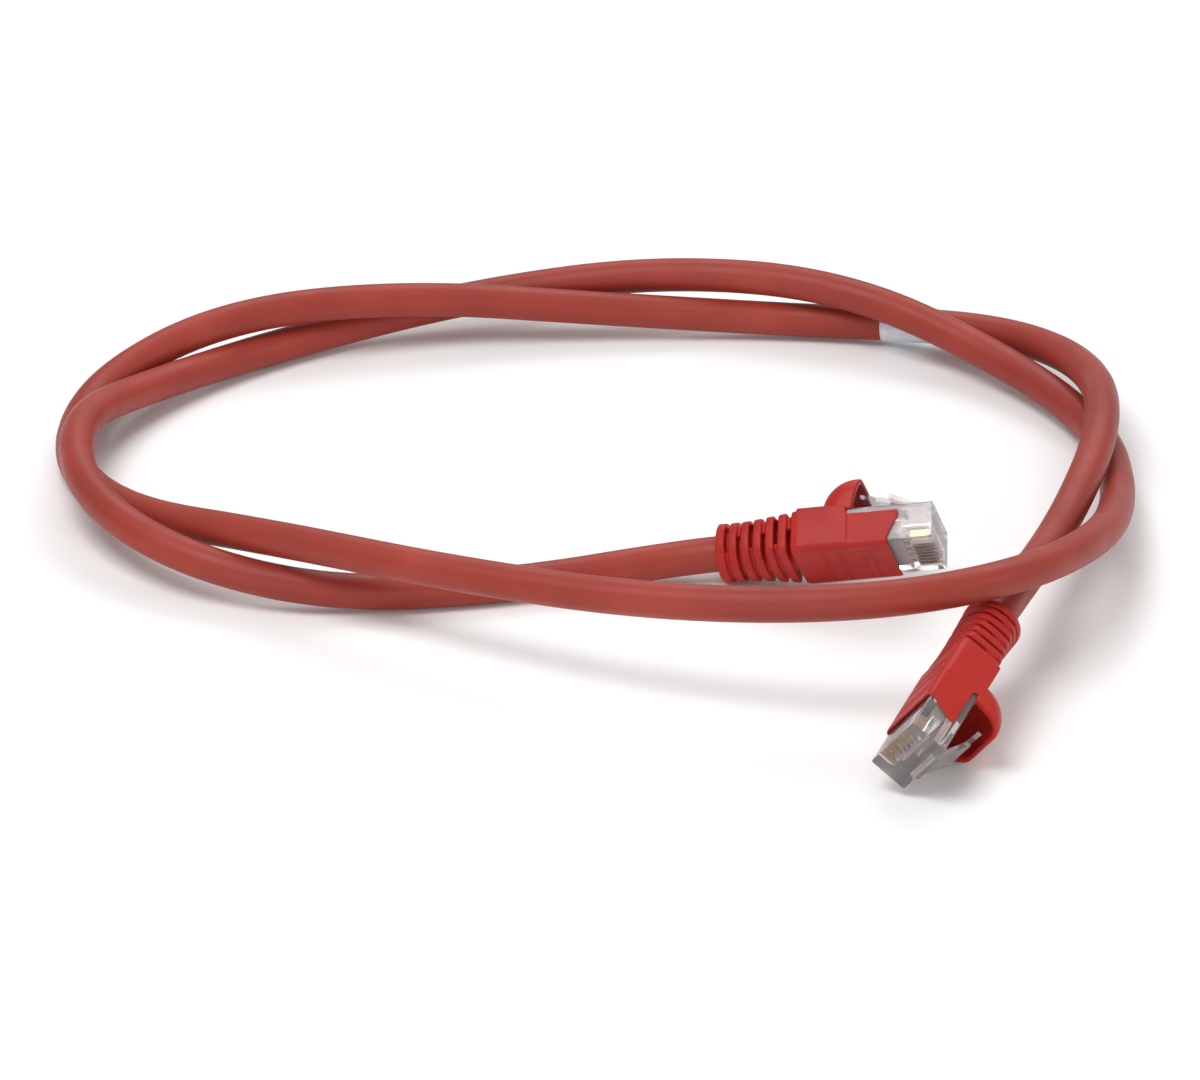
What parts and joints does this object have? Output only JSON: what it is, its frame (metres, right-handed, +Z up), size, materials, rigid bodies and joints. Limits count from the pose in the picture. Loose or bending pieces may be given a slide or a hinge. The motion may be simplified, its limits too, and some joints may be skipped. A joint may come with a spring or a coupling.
{
  "type": "ethernet patch cable",
  "caption": "Round patch cable with booted clear modular plugs and sprung latches, lying in two loose turns.",
  "frame": {"origin": "centre of the cable's bounding box in plan, on the surface it lies on", "axes": "+X along the long way of the coil, +Z up; the pictured side looks towards +Y"},
  "size_m": [0.1788, 0.1718, 0.0242],
  "materials": {
    "jacket": "satin",
    "boot": "satin",
    "clear_plug": "glossy",
    "clear_latch": "glossy",
    "wire_guide": "satin",
    "contacts": "polished",
    "label": "matte",
    "wire_white_green": "satin",
    "wire_green": "satin",
    "wire_white_orange": "satin",
    "wire_blue": "satin",
    "wire_white_blue": "satin",
    "wire_orange": "satin",
    "wire_white_brown": "satin",
    "wire_brown": "satin"
  },
  "bodies": {
    "root": {"cable_jacket": "jacket", "cable_label": "label", "wire_white_green": "wire_white_green", "wire_green": "wire_green", "wire_white_orange": "wire_white_orange", "wire_blue": "wire_blue", "wire_white_blue": "wire_white_blue", "wire_orange": "wire_orange", "wire_white_brown": "wire_white_brown", "wire_brown": "wire_brown", "plug_shell_a": "clear_plug", "contacts_a": "contacts", "wire_guide_a": "wire_guide", "boot_a": "boot", "boot_hood_a": "boot", "plug_shell_b": "clear_plug", "contacts_b": "contacts", "wire_guide_b": "wire_guide", "boot_b": "boot", "boot_hood_b": "boot"},
    "latch_a": {"latch_lever_a": "clear_latch"},
    "latch_b": {"latch_lever_b": "clear_latch"}
  },
  "joints": [
    {"name": "latch_a_press", "type": "hinge", "parent": "root", "child": "latch_a", "pos_m": [0.05483, -0.01533, 0.01321], "axis": [-0.2561, -0.5403, 0.8015], "range_deg": [0, 10], "stiffness_Nm_per_rad": 0.02},
    {"name": "latch_b_press", "type": "hinge", "parent": "root", "child": "latch_b", "pos_m": [0.05158, -0.08282, 0.00623], "axis": [0.5203, -0.3479, 0.7799], "range_deg": [0, 10], "stiffness_Nm_per_rad": 0.02}
  ]
}
